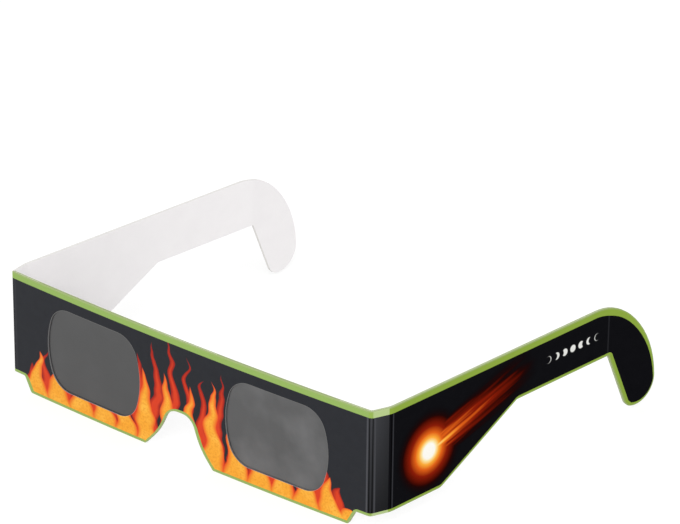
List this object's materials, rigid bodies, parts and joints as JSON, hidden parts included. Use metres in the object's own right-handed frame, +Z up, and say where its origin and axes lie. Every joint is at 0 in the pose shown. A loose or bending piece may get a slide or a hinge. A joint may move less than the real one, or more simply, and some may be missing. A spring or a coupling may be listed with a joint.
{
  "type": "card eclipse glasses",
  "caption": "Card eclipse glasses folded from one laminated strip, with dark filter films in rounded windows, a tapered nose notch and creased temples with curved ear hooks.",
  "frame": {"origin": "on the outer face of the front, midway between its two side creases, level with the lower edge that it stands on", "axes": "+X to the right along the front as seen from in front of it, +Y back along the temples, +Z up; left and right in the names are as seen from in front too"},
  "size_m": [0.1603, 0.1251, 0.04],
  "materials": {
    "printed_card": "satin",
    "white_card": "matte",
    "adhesive": "matte",
    "filter_film": "gloss"
  },
  "bodies": {
    "front": {"front_outer_card": "printed_card", "front_glue": "adhesive", "front_inner_card": "white_card", "left_filter_film": "filter_film", "right_filter_film": "filter_film"},
    "left_strip": {"left_strip_outer_card": "printed_card", "left_strip_glue": "adhesive", "left_strip_inner_card": "white_card"},
    "left_temple": {"left_temple_outer_card": "printed_card", "left_temple_glue": "adhesive", "left_temple_inner_card": "white_card"},
    "left_hook": {"left_hook_outer_card": "printed_card", "left_hook_glue": "adhesive", "left_hook_inner_card": "white_card"},
    "right_strip": {"right_strip_outer_card": "printed_card", "right_strip_glue": "adhesive", "right_strip_inner_card": "white_card"},
    "right_temple": {"right_temple_outer_card": "printed_card", "right_temple_glue": "adhesive", "right_temple_inner_card": "white_card"},
    "right_hook": {"right_hook_outer_card": "printed_card", "right_hook_glue": "adhesive", "right_hook_inner_card": "white_card"}
  },
  "joints": [
    {"name": "left_strip_crease", "type": "hinge", "parent": "front", "child": "left_strip", "pos_m": [-0.07247, 0.00187, 0.02], "axis": [0, 0, -1], "range_deg": [-79.7, 10.3]},
    {"name": "left_temple_crease", "type": "hinge", "parent": "left_strip", "child": "left_temple", "pos_m": [-0.07336, 0.00881, 0.02], "axis": [0, 0, -1], "range_deg": [-13.9, 72.1]},
    {"name": "left_hook_crease", "type": "hinge", "parent": "left_temple", "child": "left_hook", "pos_m": [-0.06239, 0.10438, 0.02], "axis": [0, 0, -1], "range_deg": [0, 24]},
    {"name": "right_strip_crease", "type": "hinge", "parent": "front", "child": "right_strip", "pos_m": [0.07247, 0.00187, 0.02], "axis": [0, 0, 1], "range_deg": [-64.2, 25.8]},
    {"name": "right_temple_crease", "type": "hinge", "parent": "right_strip", "child": "right_temple", "pos_m": [0.07519, 0.00832, 0.02], "axis": [0, 0, 1], "range_deg": [-17.8, 54.2]},
    {"name": "right_hook_crease", "type": "hinge", "parent": "right_temple", "child": "right_hook", "pos_m": [0.08365, 0.10414, 0.02], "axis": [0, 0, 1], "range_deg": [0, 24]}
  ]
}
